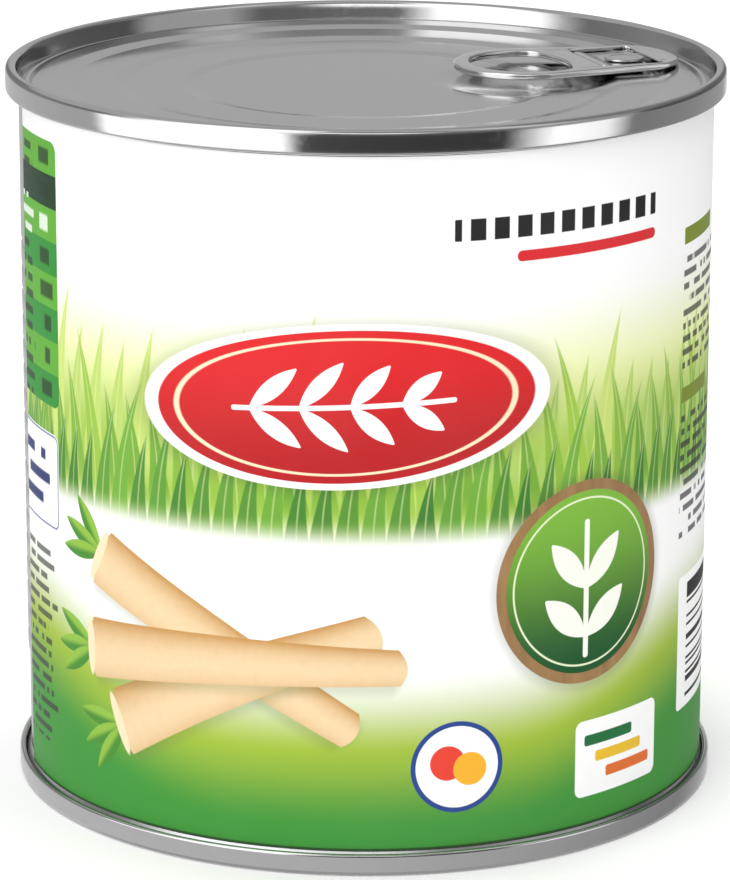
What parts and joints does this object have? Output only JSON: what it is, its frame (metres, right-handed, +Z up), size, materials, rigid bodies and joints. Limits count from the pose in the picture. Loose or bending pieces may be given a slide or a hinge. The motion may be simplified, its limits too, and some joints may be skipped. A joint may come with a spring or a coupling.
{
  "type": "food tin can with ring-pull end",
  "caption": "Sealed round food can: beaded tinplate body, double-seamed ends, hinged ring pull on a scored lid, paper label, packed root vegetable inside.",
  "frame": {"origin": "centre of the circle that the bottom seam stands on", "axes": "+Z up along the can's axis; the ring pull lies along a radius 19 degrees from +X towards +Y"},
  "size_m": [0.1028, 0.1028, 0.1047],
  "materials": {
    "body_tinplate": "bare bright tinplate with fine rolling lines",
    "end_tinplate": "satin lacquered tinplate, bright along the seam",
    "tab_steel": "polished plated steel strip",
    "seam_compound": "matt sealing compound",
    "label_paper": "printed gloss-varnished paper",
    "root_flesh": "moist peeled root"
  },
  "bodies": {
    "root": {"can_body": "body_tinplate", "top_end": "end_tinplate", "bottom_end": "end_tinplate", "tab_tongue": "tab_steel", "top_seam_compound": "seam_compound", "bottom_seam_compound": "seam_compound", "paper_label": "label_paper", "salsify_piece_01": "root_flesh", "salsify_piece_02": "root_flesh", "salsify_piece_03": "root_flesh", "salsify_piece_04": "root_flesh", "salsify_piece_05": "root_flesh", "salsify_piece_06": "root_flesh", "salsify_piece_07": "root_flesh", "salsify_piece_08": "root_flesh", "salsify_piece_09": "root_flesh", "salsify_piece_10": "root_flesh", "salsify_piece_11": "root_flesh", "salsify_piece_12": "root_flesh", "salsify_piece_13": "root_flesh", "salsify_piece_14": "root_flesh", "salsify_piece_15": "root_flesh", "salsify_piece_16": "root_flesh", "salsify_piece_17": "root_flesh", "salsify_piece_18": "root_flesh", "salsify_piece_19": "root_flesh", "salsify_piece_20": "root_flesh", "salsify_piece_21": "root_flesh", "salsify_piece_22": "root_flesh", "salsify_piece_23": "root_flesh", "salsify_piece_24": "root_flesh", "salsify_piece_25": "root_flesh", "salsify_piece_26": "root_flesh", "salsify_piece_27": "root_flesh", "salsify_piece_28": "root_flesh"},
    "ring_pull": {"pull_tab": "tab_steel"}
  },
  "joints": [
    {"name": "ring_pull_lift", "type": "hinge", "parent": "root", "child": "ring_pull", "pos_m": [0.03177, 0.01094, 0.10278], "axis": [-0.3256, 0.9455, 0], "range_deg": [0, 0.7]}
  ]
}
